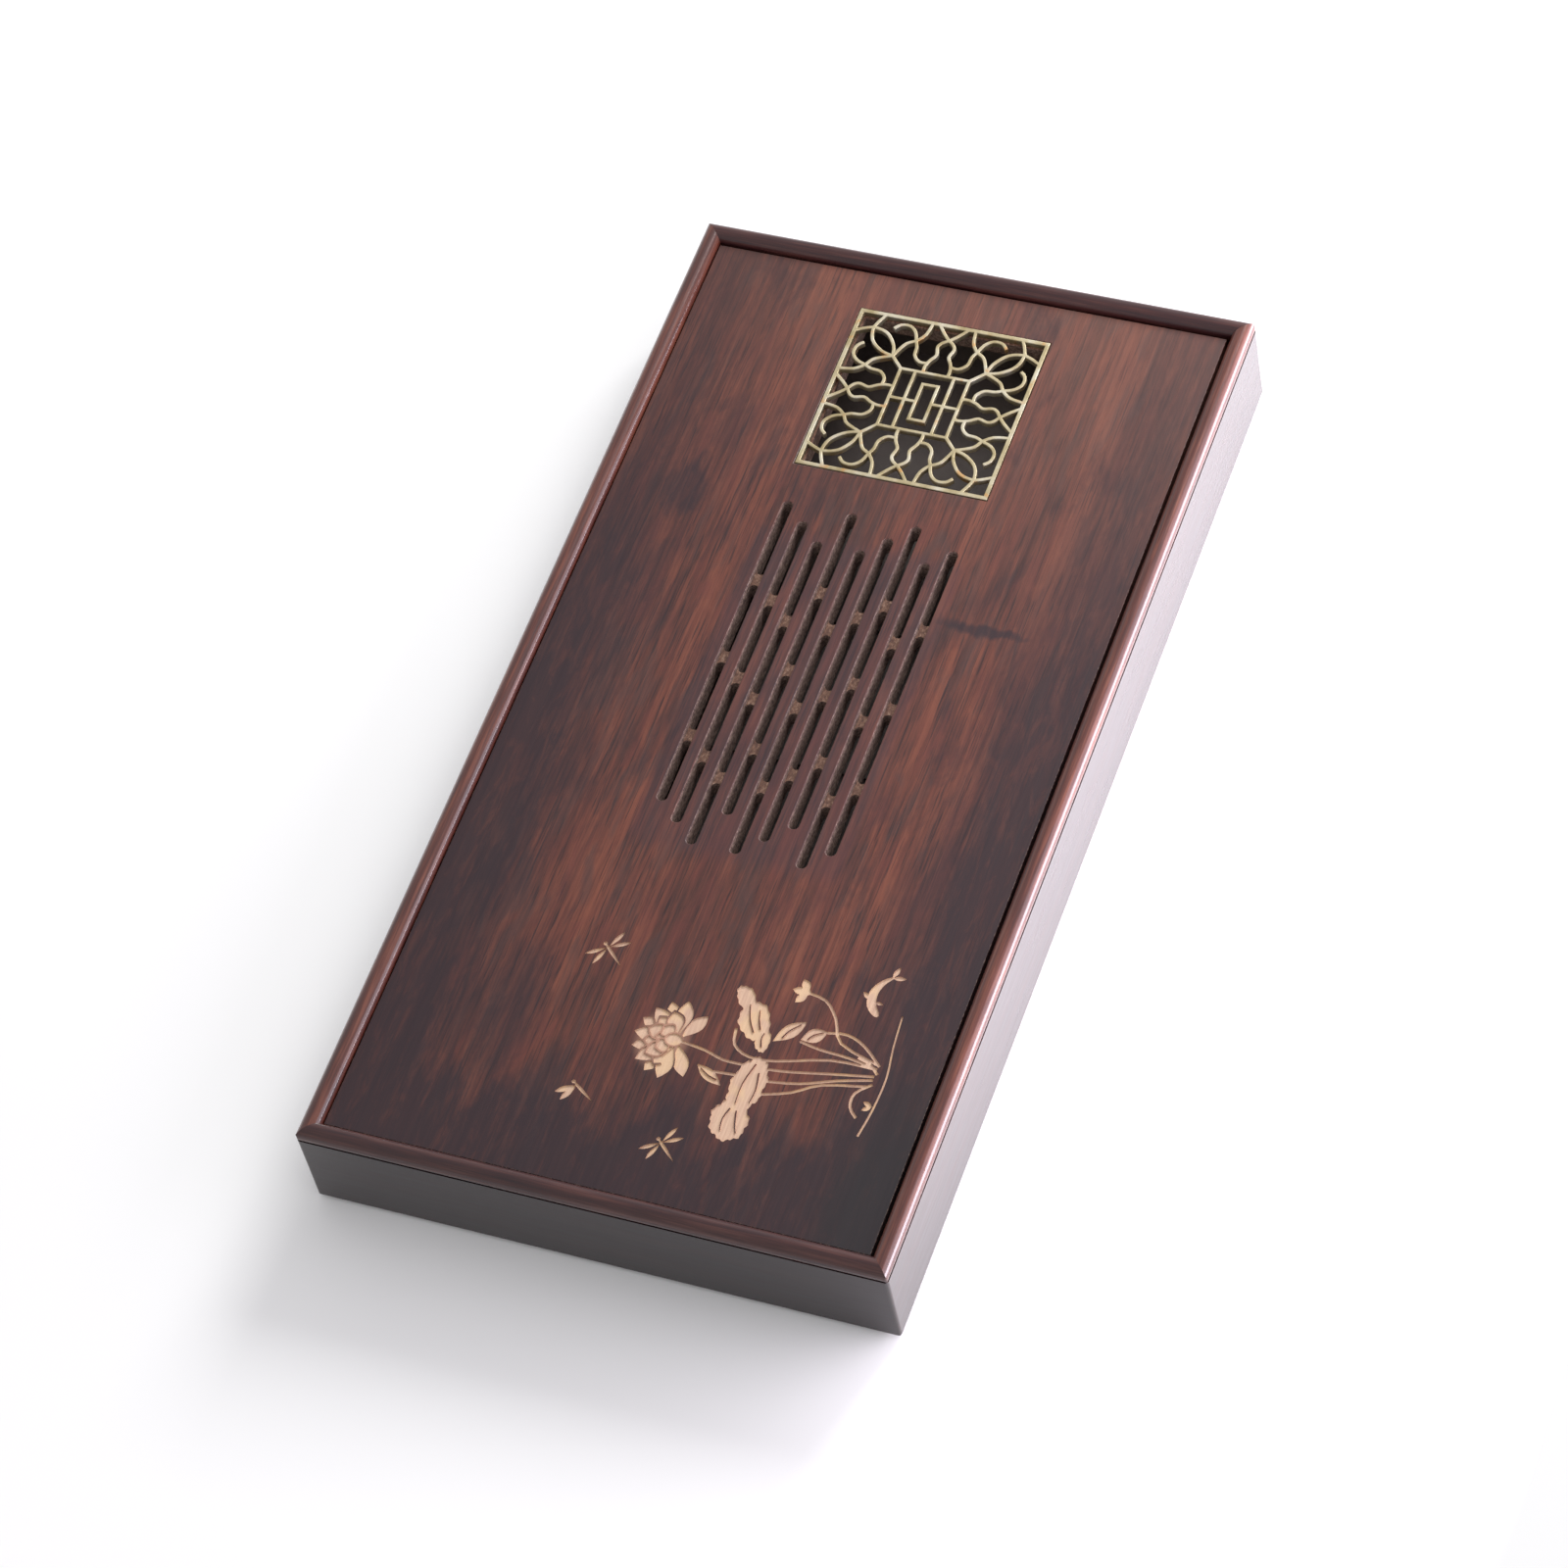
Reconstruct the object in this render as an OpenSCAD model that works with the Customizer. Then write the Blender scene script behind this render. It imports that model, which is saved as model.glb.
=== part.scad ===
// Tea tray that drains into itself: a mitred bamboo case with a beaded rim, a loose
// slotted deck on ledge strips, a plastic water tray under it and a brass grille in it.
// The origin is at the middle of the footprint, on the table. The engraved scene is at
// the left end (-X), the grille at the right end (+X), and the front is -Y.

/* [Case] */
// Outside length of the case
case_l = 346; // [330:1:420]
// Outside width of the case
case_w = 180; // [150:1:240]
// Height of the beaded rim's top above the table
case_h = 36; // [34:0.5:60]
// Thickness of the four walls, which is also the width of the bead
wall_t = 6.1; // [5.5:0.1:9]
// Gap between the table and the walls
stand_h = 1.6; // [0.8:0.1:3]
// Radius of the upright outer corners
corner_r = 1.2; // [0.5:0.1:3]
// Height of the bead's top above the deck
rim_rise = 2.8; // [1.5:0.1:4]
// Depth of the quirk under the bead
quirk_d = 0.4; // [0.2:0.1:1.2]
// Height of the quirk under the middle of the bead
quirk_h = 1.5; // [1.2:0.1:3.5]
// Chamfer along the walls' lower outer edge
wall_chamfer = 0.5; // [0.2:0.1:1]

/* [Corner splines] */
// Thickness of the spline in each mitre
spline_t = 1.5; // [1:0.1:2]
// Height of the splines
spline_h = 21; // [10:1:24]
// Wood left between a spline and the outside of a wall
spline_cover = 1; // [0.8:0.1:1.5]

/* [Bottom board] */
// Thickness of the bottom board
board_t = 3.5; // [2.5:0.1:5]
// Height of the board's underside above the walls' lower edge
board_rise = 2.4; // [1.5:0.1:4]
// Depth of the grooves that hold the board
groove_d = 3; // [2:0.1:4]
// Clearance round the board in its grooves
board_clear = 0.2; // [0.1:0.05:0.4]
// Size of the corners clipped off the board
board_clip = 4; // [3:0.5:10]

/* [Feet] */
// Diameter of a rubber foot where it is stuck on
foot_d = 16; // [10:1:24]
// Diameter of its flat sole
foot_sole_d = 14; // [8:1:22]
// Distance of a foot's middle from the outside of the case
foot_inset = 24; // [18:1:40]

/* [Ledge strips] */
// Width of the strips that carry the deck
ledge_w = 5; // [3.5:0.5:8]
// Height of the strips
ledge_h = 8; // [5:0.5:12]

/* [Deck] */
// Thickness of the deck
deck_t = 7; // [5:0.5:10]
// Gap between the deck and the front wall
gap_front = 1.1; // [0.3:0.1:2]
// Gap between the deck and the back wall
gap_back = 0.3; // [0.3:0.1:2]
// Gap between the deck and the left wall
gap_left = 0.4; // [0.3:0.1:2]
// Gap between the deck and the right wall
gap_right = 0.9; // [0.3:0.1:2]
// Chamfer round the deck's top and bottom edges
deck_chamfer = 0.2; // [0.2:0.1:1]

/* [Slots] */
// Number of drain slots side by side
slot_count = 9; // [3:2:15]
// Distance between neighbouring slots
slot_pitch = 6.9; // [5:0.1:9]
// Width of a slot
slot_w = 3.2; // [2:0.1:4]
// Length of a slot
slot_l = 113; // [100:1:118]
// Step by which the slots' ends stagger
slot_step = 6.2; // [2:0.1:8]
// Depth of the groove that a slot starts as
slot_groove = 2; // [1:0.1:3]
// Distance from a slot's left end to its first bridge
node_first = 25.4; // [20:0.1:30]
// Distance between the bridges in a slot
node_pitch = 29.3; // [24:0.1:30]
// Length of a bridge at the groove's floor
node_l = 4; // [3:0.5:6]
// Gap between the slots and the grille
slot_to_grille = 14.4; // [12:0.1:20]

/* [Grille] */
// Side of the square brass grille
grille_w = 62; // [50:1:70]
// Thickness of the grille
grille_t = 2; // [1.2:0.1:3]
// Width of the grille's border
border_w = 1.4; // [1:0.1:2]
// Width of the lattice lines
line_w = 1.1; // [0.8:0.1:1.5]
// Height by which the grille stands proud of the deck
grille_proud = 0.2; // [0:0.1:0.5]
// Clearance round the grille in its seat
grille_clear = 0.2; // [0.1:0.05:0.5]
// Width of the seat's ledge under the grille
seat_w = 2; // [1.5:0.1:4]
// Gap between the grille and the deck's right edge
grille_margin = 14; // [10:0.5:25]

/* [Battens] */
// Width of the battens under the deck
batten_w = 10; // [8:0.5:11]
// Height of the battens
batten_h = 5.5; // [4:0.5:8]
// Gap between a batten's end and the inside of the water tray
batten_gap = 4; // [2:0.5:10]
// Distance from the deck's left edge to the left batten
batten_inset = 56; // [40:1:90]
// Screws along each batten
screws_each = 3; // [2:1:4]
// Shank diameter of the screws
screw_d = 3; // [2.5:0.1:3.5]
// Head diameter of the screws
screw_head_d = 5.8; // [5:0.1:6.5]
// Length of the screws
screw_l = 10; // [8:0.5:11]

/* [Water tray] */
// Gap between the water tray's lip and the ledge strips
tray_gap = 1; // [0.5:0.1:2]
// Gap between the tray's lip and the deck
tray_headroom = 0.7; // [0.3:0.1:2]
// Wall thickness of the tray
tray_wall = 1.6; // [1:0.1:3]
// Width of the lip outside the tray's wall
lip_w = 2.5; // [1.5:0.1:4]
// Thickness of the lip
lip_t = 1.8; // [1:0.1:3]
// Corner radius of the tray's outside
tray_r = 6; // [4:0.5:12]
// Height of the ribs on the tray's floor
rib_h = 1; // [0.5:0.1:2]
// Width of the ribs
rib_w = 2; // [1.5:0.1:4]
// Number of ribs across the tray's floor
rib_count = 5; // [3:1:9]

/* [Engraved scene] */
// Depth of the engraving
engrave_d = 0.4; // [0.2:0.1:0.8]
// Distance from the deck's left edge to the scene's grid
scene_x = 0.5; // [0:0.5:10]
// Distance from the deck's front edge to the scene's grid
scene_y = 0; // [0:0.5:20]
// Width of a plant's stem
stem_w = 0.9; // [0.6:0.1:1.2]
// Width of the uncut ridges between petals
ridge_w = 0.45; // [0.3:0.05:0.8]

/* [Hidden] */
$fn = 48;
slack = 0.01;
bead_r = wall_t / 2;
bead_z = case_h - bead_r;
wall_top = bead_z - quirk_h;
board_z = stand_h + board_rise;
board_top = board_z + board_t;
in_l = case_l - 2 * wall_t;
in_w = case_w - 2 * wall_t;
deck_top = case_h - rim_rise;
deck_z = deck_top - deck_t;
deck_l = in_l - gap_left - gap_right;
deck_w = in_w - gap_front - gap_back;
deck_x0 = -in_l / 2 + gap_left;
deck_y0 = -in_w / 2 + gap_front;
deck_cy = deck_y0 + deck_w / 2;
grille_x = deck_x0 + deck_l - grille_margin - grille_w / 2;
seat_side = grille_w + 2 * grille_clear;
seat_floor = deck_top + grille_proud - grille_t;
well_side = grille_w - 2 * seat_w;
slots_x1 = grille_x - grille_w / 2 - slot_to_grille;
slots_x0 = slots_x1 - slot_l - 2 * slot_step;
lip_l = in_l - 2 * (ledge_w + tray_gap);
lip_wide = in_w - 2 * (ledge_w + tray_gap);
tray_l = lip_l - 2 * lip_w;
tray_w = lip_wide - 2 * lip_w;
tray_top = deck_z - tray_headroom;
tray_floor = board_top + tray_wall;
batten_l = tray_w - 2 * (tray_wall + batten_gap);
batten_x_left = deck_x0 + batten_inset;
batten_x_right = (slots_x1 + grille_x - well_side / 2) / 2;
screw_gap = batten_l / screws_each;
screw_head_h = (screw_head_d - screw_d) / 2;
thread_clear = 0.1;
hole_spare = 0.5;
recess_w = 0.8;
recess_d = 1;
foot_edge = 0.5;
case_wood = "#4b3030";
deck_wood = "#6b463f";
raw_wood = "#8a6348";
brass = "#d9c477";
grey_plastic = "#443f3b";
rubber = "#1d1d1e";
steel = "#b9bcc0";

// Flat helpers: rectangles with round corners, smooth curves and drawn lines

module round_rect(l, w, r) {
  union() {
    square([l - 2 * r, w], center = true);
    square([l, w - 2 * r], center = true);
    for (x = [-1, 1], y = [-1, 1])
      translate([x * (l / 2 - r), y * (w / 2 - r)]) circle(r);
  }
}

function unit(v) = v / norm(v);

// A point a share t of the way from b to c on the smooth curve through a, b, c and d
function bend_point(a, b, c, d, t) =
  (2 * b + t * (c - a) + t * t * (2 * a - 5 * b + 4 * c - d) + t * t * t * (3 * b - a - 3 * c + d)) / 2;

// The smooth curve through points p, with n steps between neighbours
function smooth(p, n = 4) = [
  for (i = [0 : len(p) - 2], k = [0 : n - 1])
    bend_point(p[max(i - 1, 0)], p[i], p[i + 1], p[min(i + 2, len(p) - 1)], k / n),
  p[len(p) - 1]
];

// The sideways direction of the curve p at its point i
function side_of(p, i) =
  let (along = unit(p[min(i + 1, len(p) - 1)] - p[max(i - 1, 0)])) [-along[1], along[0]];

// A line along points p, from width w0 at its start to w1 at its end
module stroke(p, w0, w1) {
  last = len(p) - 1;
  polygon(concat(
    [for (i = [0 : last]) p[i] + side_of(p, i) * (w0 + (w1 - w0) * i / last) / 2],
    [for (i = [last : -1 : 0]) p[i] - side_of(p, i) * (w0 + (w1 - w0) * i / last) / 2]));
}

// A petal from the origin along +X, widest nearer its tip the greater its bulge
module petal(l, w, bulge, n = 8) {
  function half(t) = w / 2 * sin(180 * pow(t, bulge));
  polygon(concat(
    [for (i = [0 : n]) [l * i / n, half(i / n)]],
    [for (i = [n - 1 : -1 : 1]) [l * i / n, -half(i / n)]]));
}

// Case: four mitred walls, keyed at the corners

// Section of a wall, with u inward from its outer face and v up
module wall_section() {
  difference() {
    union() {
      polygon([[wall_chamfer, stand_h], [wall_t, stand_h], [wall_t, wall_top], [0, wall_top],
               [0, stand_h + wall_chamfer]]);
      translate([quirk_d, wall_top - slack])
        square([wall_t - quirk_d, quirk_h + slack]);
      translate([bead_r, bead_z]) circle(bead_r);
    }
    translate([wall_t - groove_d, board_z])
      square([groove_d + slack, board_t]);
  }
}

// A wall l long in a case that is w across, along the -Y side
module wall(l, w) {
  difference() {
    intersection() {
      translate([-l / 2, -w / 2, 0])
        rotate([90, 0, 90])
          linear_extrude(l) wall_section();
      linear_extrude(case_h + 1)
        polygon([[-l / 2, -w / 2], [l / 2, -w / 2], [l / 2 - 2 * wall_t, 2 * wall_t - w / 2],
                 [2 * wall_t - l / 2, 2 * wall_t - w / 2]]);
      linear_extrude(case_h + 1) round_rect(l, w, corner_r);
    }
    for (side = [-1, 1]) spline(side, -1, l, w);
  }
}

// The key in one corner of a case l by w
module spline(sx, sy, l, w) {
  reach = 2 * sqrt(2) * (wall_t / 2 - spline_cover);
  translate([sx * (l - wall_t) / 2, sy * (w - wall_t) / 2, stand_h])
    rotate([0, 0, -45 * sx * sy])
      translate([-reach / 2, -spline_t / 2, 0])
        cube([reach, spline_t, spline_h]);
}

module rail_front() { color(case_wood) wall(case_l, case_w); }
module rail_back() { color(case_wood) mirror([0, 1, 0]) wall(case_l, case_w); }
module rail_left() { color(case_wood) rotate([0, 0, -90]) wall(case_w, case_l); }
module rail_right() { color(case_wood) mirror([1, 0, 0]) rotate([0, 0, -90]) wall(case_w, case_l); }

module corner_splines() {
  color(raw_wood)
    for (sx = [-1, 1], sy = [-1, 1]) spline(sx, sy, case_l, case_w);
}

module bottom_board() {
  l = in_l + 2 * (groove_d - board_clear);
  w = in_w + 2 * (groove_d - board_clear);
  c = board_clip;
  color(raw_wood)
    translate([0, 0, board_z])
      linear_extrude(board_t)
        polygon([[c - l / 2, -w / 2], [l / 2 - c, -w / 2], [l / 2, c - w / 2], [l / 2, w / 2 - c],
                 [l / 2 - c, w / 2], [c - l / 2, w / 2], [-l / 2, w / 2 - c], [-l / 2, c - w / 2]]);
}

// A moulded rubber foot stuck under the board
module foot(sx, sy) {
  neck = board_z / 2;
  color(rubber)
    translate([sx * (case_l / 2 - foot_inset), sy * (case_w / 2 - foot_inset), 0])
      rotate_extrude()
        polygon([[0, 0], [foot_sole_d / 2 - foot_edge, 0], [foot_sole_d / 2, foot_edge],
                 [foot_d / 2, neck], [foot_d / 2, board_z], [0, board_z]]);
}

// Ledge strips glued inside the walls, level with the deck's underside
module ledge_strip(l, w) {
  translate([-l / 2, -w / 2, deck_z - ledge_h])
    cube([l, w, ledge_h]);
}

module ledge_front() { color(raw_wood) translate([0, (ledge_w - in_w) / 2, 0]) ledge_strip(in_l, ledge_w); }
module ledge_back() { color(raw_wood) translate([0, (in_w - ledge_w) / 2, 0]) ledge_strip(in_l, ledge_w); }

module ledge_left() {
  color(raw_wood)
    translate([(ledge_w - in_l) / 2, 0, 0]) ledge_strip(ledge_w, in_w - 2 * ledge_w);
}

module ledge_right() {
  color(raw_wood)
    translate([(in_l - ledge_w) / 2, 0, 0]) ledge_strip(ledge_w, in_w - 2 * ledge_w);
}

// Water tray: a moulded basin with a lip and floor ribs, lifted out by its lip
module water_tray() {
  inside_l = tray_l - 2 * tray_wall;
  inside_w = tray_w - 2 * tray_wall;
  inside_r = tray_r - tray_wall;
  color(grey_plastic)
    union() {
      difference() {
        union() {
          translate([0, 0, board_top])
            linear_extrude(tray_top - board_top) round_rect(tray_l, tray_w, tray_r);
          translate([0, 0, tray_top - lip_t])
            linear_extrude(lip_t) round_rect(lip_l, lip_wide, tray_r + lip_w);
        }
        translate([0, 0, tray_floor])
          linear_extrude(tray_top) round_rect(inside_l, inside_w, inside_r);
      }
      for (i = [1 : rib_count])
        translate([inside_l * (i / (rib_count + 1) - 0.5), 0, tray_floor - slack])
          linear_extrude(rib_h + slack) round_rect(rib_w, inside_w - 2 * inside_r, rib_w / 2 - slack);
    }
}

// Deck: a loose board with slots, a well for the grille and an engraved scene

module deck_panel() {
  color(deck_wood)
    difference() {
      deck_blank();
      for (i = [0 : slot_count - 1])
        translate([slots_x0 + slot_start(i), deck_cy + (i - (slot_count - 1) / 2) * slot_pitch, 0]) slot();
      translate([grille_x, deck_cy, deck_z - 1])
        linear_extrude(deck_t + 2) square(well_side, center = true);
      translate([grille_x, deck_cy, seat_floor])
        linear_extrude(grille_t + 1) square(seat_side, center = true);
      translate([deck_x0 + scene_x, deck_y0 + scene_y, deck_top - engrave_d])
        linear_extrude(engrave_d + 1) scene();
      for (x = [batten_x_left, batten_x_right], i = [0 : screws_each - 1])
        translate([x, screw_y(i), deck_z - 1])
          cylinder(h = screw_l - batten_h + hole_spare + 1, d = screw_d + 2 * thread_clear);
    }
}

// The deck's board, chamfered all round at top and bottom
module deck_blank() {
  intersection() {
    translate([0, deck_y0 + deck_w, 0])
      rotate([90, 0, 0])
        linear_extrude(deck_w) deck_side(deck_x0, deck_l);
    translate([deck_x0, 0, 0])
      rotate([90, 0, 90])
        linear_extrude(deck_l) deck_side(deck_y0, deck_w);
  }
}

module deck_side(start, l) {
  c = deck_chamfer;
  polygon([[start + c, deck_z], [start + l - c, deck_z], [start + l, deck_z + c],
           [start + l, deck_top - c], [start + l - c, deck_top], [start + c, deck_top],
           [start, deck_top - c], [start, deck_z + c]]);
}

// How far slot i, counted from the front, starts to the right of the leftmost one
function slot_start(i) = slot_step * [1, 0, 2, 1, 0, 2, 0, 1, 2][i % 9];

// A groove with round ends, cut through except at three bridges
module slot() {
  ends = [0, for (k = [0 : 2]) node_first + k * node_pitch, slot_l];
  translate([0, 0, deck_top - slot_groove])
    linear_extrude(slot_groove + 1) round_bar(0, slot_l, slot_w);
  for (k = [0 : 3])
    translate([0, 0, deck_z - 1])
      linear_extrude(deck_t + 2)
        round_bar(ends[k] + (k > 0 ? node_l / 2 : 0), ends[k + 1] - (k < 3 ? node_l / 2 : 0), slot_w);
}

module round_bar(x0, x1, w) {
  union() {
    translate([x0 + w / 2, -w / 2]) square([x1 - x0 - w, w]);
    translate([x0 + w / 2, 0]) circle(d = w);
    translate([x1 - w / 2, 0]) circle(d = w);
  }
}

function screw_y(i) = deck_cy + (i - (screws_each - 1) / 2) * screw_gap;

module batten(x) {
  color(raw_wood)
    difference() {
      translate([x - batten_w / 2, deck_cy - batten_l / 2, deck_z - batten_h])
        cube([batten_w, batten_l, batten_h]);
      for (i = [0 : screws_each - 1])
        translate([x, screw_y(i), deck_z - batten_h - slack]) {
          cylinder(h = batten_h + 1, d = screw_d + 2 * thread_clear);
          cylinder(h = screw_head_h + slack, d1 = screw_head_d + 2 * slack, d2 = screw_d);
        }
    }
}

module batten_left() { batten(batten_x_left); }
module batten_right() { batten(batten_x_right); }

// Countersunk screws that hold the battens up to the deck, with a cross recess
module batten_screws() {
  color(steel)
    for (x = [batten_x_left, batten_x_right], i = [0 : screws_each - 1])
      translate([x, screw_y(i), deck_z - batten_h])
        difference() {
          rotate_extrude()
            polygon([[0, 0], [screw_head_d / 2, 0], [screw_d / 2, screw_head_h],
                     [screw_d / 2, screw_l - screw_d], [0, screw_l]]);
          for (turn = [0, 90])
            rotate([0, 0, turn])
              translate([-screw_head_d / 4, -recess_w / 2, -recess_d])
                cube([screw_head_d / 2, recess_w, 2 * recess_d]);
        }
}

// Brass grille: a border, a fret in the middle and scrolls between them

// The scroll lines of one eighth of the lattice, on a grid as wide as the grille
grid_w = 62;
fret_half = 11.2;
fret_bar_y = 6.3;
fret_box = [6.9, 2.5];
scroll_lines = [
  [[4.0, 11.0], [4.1, 13.6], [3.3, 16.2], [2.0, 18.6], [2.7, 21.6], [1.9, 23.4], [0, 24.8]],
  [[0, 24.8], [2.2, 27.0], [4.6, 30.0]],
  [[3.8, 14.9], [6.4, 14.9], [8.6, 17.0], [9.0, 20.2], [10.0, 22.4]],
  [[10.0, 22.4], [7.8, 25.4], [7.0, 30.0]],
  [[10.0, 22.4], [11.2, 25.6], [13.6, 27.6], [16.6, 27.4], [18.4, 25.6]],
  [[10.0, 22.4], [12.6, 20.8], [14.2, 17.8], [15.2, 15.2]],
  [[24.7, 24.7], [23.8, 27.2], [22.4, 30.0]],
];
leaf_line = [[15.2, 15.2], [16.2, 19.0], [18.8, 22.6], [21.6, 24.2], [24.7, 24.7]];
corner_line = [[11.0, 11.0], [12.8, 12.8], [15.2, 15.2]];

// The plate, with its border, fret and scrolls fused where they cross
module drain_grille() {
  color(brass)
    translate([grille_x, deck_cy, seat_floor])
      union() {
        linear_extrude(grille_t) square_ring(grille_w - border_w, border_w);
        linear_extrude(grille_t) fret();
        linear_extrude(grille_t)
          for (turn = [0 : 90 : 270], flip = [0, 1])
            rotate([0, 0, turn])
              mirror([flip, 0, 0])
                grille_eighth(grille_w / grid_w);
      }
}

// A square outline, measured to the middle of its line
module square_ring(side, line) {
  difference() {
    square(side + line, center = true);
    square(side - line, center = true);
  }
}

// The square fret in the middle, with a bar box hung in it
module fret() {
  k = grille_w / grid_w;
  half = k * fret_half;
  bar_y = k * fret_bar_y;
  box_x = k * fret_box[0];
  box_y = k * fret_box[1];
  square_ring(2 * half, line_w);
  for (y = [-1, 1]) {
    translate([-half, y * bar_y - line_w / 2]) square([2 * half, line_w]);
    translate([-line_w / 2, y > 0 ? box_y : -half]) square([line_w, half - box_y]);
    translate([-box_x, y * box_y - line_w / 2]) square([2 * box_x, line_w]);
  }
  for (x = [-1, 1])
    translate([x * box_x - line_w / 2, -box_y - line_w / 2]) square([line_w, 2 * box_y + line_w]);
}

module grille_eighth(k) {
  for (line = scroll_lines) stroke(smooth(k * line, 3), line_w, line_w);
  stroke(smooth(k * leaf_line, 3), line_w, line_w);
  stroke(k * corner_line, line_w, line_w);
}

// Engraved scene: a water lily, its leaves and buds, a fish and dragonflies, on a grid in millimetres

stems = [
  [[51.8, 76.4], [50.7, 68.0], [49.0, 62.0], [48.9, 56.0]],
  [[49.2, 48.4], [50.0, 42.0], [52.4, 30.0], [54.6, 18.0]],
  [[60.0, 61.8], [54.6, 60.4], [51.8, 55.0], [52.4, 47.0], [56.6, 32.0], [57.0, 19.0]],
  [[44.6, 63.4], [45.2, 56.0]],
  [[45.2, 48.4], [47.0, 38.0], [50.6, 28.0], [53.4, 18.0]],
  [[40.6, 48.4], [43.6, 39.4], [48.2, 31.6], [51.0, 18.6]],
  [[60.4, 42.6], [59.2, 36.0], [58.6, 27.0], [57.0, 18.0]],
  [[65.0, 35.8], [65.8, 30.0], [63.4, 24.0], [58.0, 17.6]],
  [[76.5, 47.0], [75.2, 40.0], [70.0, 35.0], [62.6, 30.8], [58.4, 18.0]],
  [[40.4, 18.6], [43.4, 21.4], [48.0, 21.6], [52.0, 17.6]],
  [[55.4, 17.4], [58.2, 20.6], [59.4, 24.6]],
];
// Uncut veins of the leaves
veins = [
  [[50.0, 52.2], [43.0, 53.8], [36.2, 53.6]],
  [[47.4, 50.4], [42.0, 49.4], [37.4, 49.8]],
  [[34.4, 54.4], [30.6, 55.4], [26.6, 54.8]],
  [[34.0, 52.4], [30.0, 51.4], [27.0, 50.2]],
  [[59.8, 56.6], [63.8, 59.0], [68.6, 60.6]],
  [[61.2, 55.0], [64.4, 56.4], [67.4, 57.2]],
  [[55.8, 52.8], [58.4, 53.6], [60.4, 53.4]],
];
// Each leaf's middle, half length, half width, tilt and number of frills
leaves = [
  [30.6, 53.4, 6.8, 5.6, 12, 7],
  [42.8, 52.2, 9.6, 5.0, -4, 9],
  [63.8, 57.6, 6.6, 4.6, 24, 5],
  [70.4, 62.4, 4.4, 2.6, 38, 4],
  [58.0, 53.0, 4.0, 2.2, 8, 4],
];
// Each bud's root, direction, length and width
buds = [
  [40.6, 59.6, 60, 10.4, 3.6],
  [58.4, 50.2, -41, 11.5, 4.6],
  [60.9, 42.6, -57, 8.2, 4.8],
];
// Each dragonfly's place, direction, size, and whether its wings are spread
dragonflies = [
  [18.6, 69.6, 228, 0.86, true],
  [30.4, 99.8, 236, 0.86, false],
  [76.4, 107.6, 228, 0.9, true],
];
ground_line = [[34.8, 16.2], [44.0, 14.9], [55.0, 14.5], [65.0, 15.9], [75.6, 16.8]];

module scene() {
  translate([51.8, 76.8]) flower();
  for (p = stems) stroke(smooth(p, 3), stem_w, stem_w);
  stroke(smooth(ground_line, 3), 0.7, 0.5);
  difference() {
    union() {
      for (v = leaves) translate([v[0], v[1]]) rotate(v[4]) frilled_leaf(v[2], v[3], v[5]);
    }
    for (p = veins) stroke(smooth(p, 3), ridge_w, ridge_w / 2);
  }
  for (v = buds) translate([v[0], v[1]]) rotate(v[2]) bud(v[3], v[4]);
  for (turn = [34, 90, 146]) translate([76.5, 45.6]) rotate(turn) petal(4.9, 2.6, 1.15);
  translate([76.5, 46]) circle(1.1, $fn = 12);
  for (turn = [70, 125]) translate([45.0, 15.4]) rotate(turn) petal(3.2, 1.5, 1);
  translate([81.4, 25.6]) rotate(-10) fish();
  for (v = dragonflies) translate([v[0], v[1]]) rotate(v[2]) dragonfly(v[3], v[4]);
}

// An open lily: fans of outer and inner petals round a seed head, parted by uncut ridges
module flower() {
  difference() {
    fan(9, 21, 13.4, 4.9, 0);
    fan(6, 26, 9.8, 4.8, ridge_w);
    seed_head(ridge_w);
  }
  difference() {
    fan(6, 26, 9.8, 4.8, 0);
    fan(3, 34, 6.4, 4.4, ridge_w);
    seed_head(ridge_w);
  }
  difference() {
    fan(3, 34, 6.4, 4.4, 0);
    seed_head(ridge_w);
  }
  seed_head(0);
  difference() {
    union() {
      translate([-0.8, -0.4]) rotate(207) petal(11.6, 4.6, 1.3);
      translate([0.8, -0.4]) rotate(-31) petal(10.6, 4.4, 1.3);
    }
    fan(9, 21, 13.4, 4.9, ridge_w);
    seed_head(ridge_w);
  }
}

// n petals step degrees apart, every second one behind its neighbours, each grown by edge
module fan(n, step, reach, w, edge) {
  function turn(i) = 90 + step * (i - (n - 1) / 2);
  for (i = [0 : 2 : n - 1]) rotate(turn(i)) fan_petal(reach, w, edge);
  for (i = [1 : 2 : n - 1])
    difference() {
      rotate(turn(i)) fan_petal(reach, w, edge);
      for (k = [i - 1, i + 1]) rotate(turn(k)) fan_petal(reach, w, edge + (edge > 0 ? 0 : ridge_w));
    }
}

module fan_petal(reach, w, edge) {
  translate([2 - edge, 0]) petal(reach - 2 + 2.4 * edge, w + 2 * edge, 1.3);
}

module seed_head(edge) {
  polygon([for (t = [0 : 20 : 340]) [(2 + edge) * cos(t), 1.2 + (2.5 + edge) * sin(t)]]);
}

// A leaf with a ragged rim
module frilled_leaf(a, b, frills) {
  function ragged(t) = 1 + 0.045 * sin(frills * t) + 0.045 * sin((2 * frills + 3) * t + 40);
  polygon([for (t = [0 : 6 : 354]) [a * ragged(t) * cos(t), b * ragged(t) * sin(t)]]);
}

// A closed bud with an uncut ridge along it
module bud(l, w) {
  ridge = [[0.24 * l, -0.12 * w], [0.5 * l, 0.06 * w], [0.84 * l, 0.04 * w]];
  difference() {
    petal(l, w, 1.05);
    stroke(smooth(ridge, 3), ridge_w, ridge_w / 2);
  }
}

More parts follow.
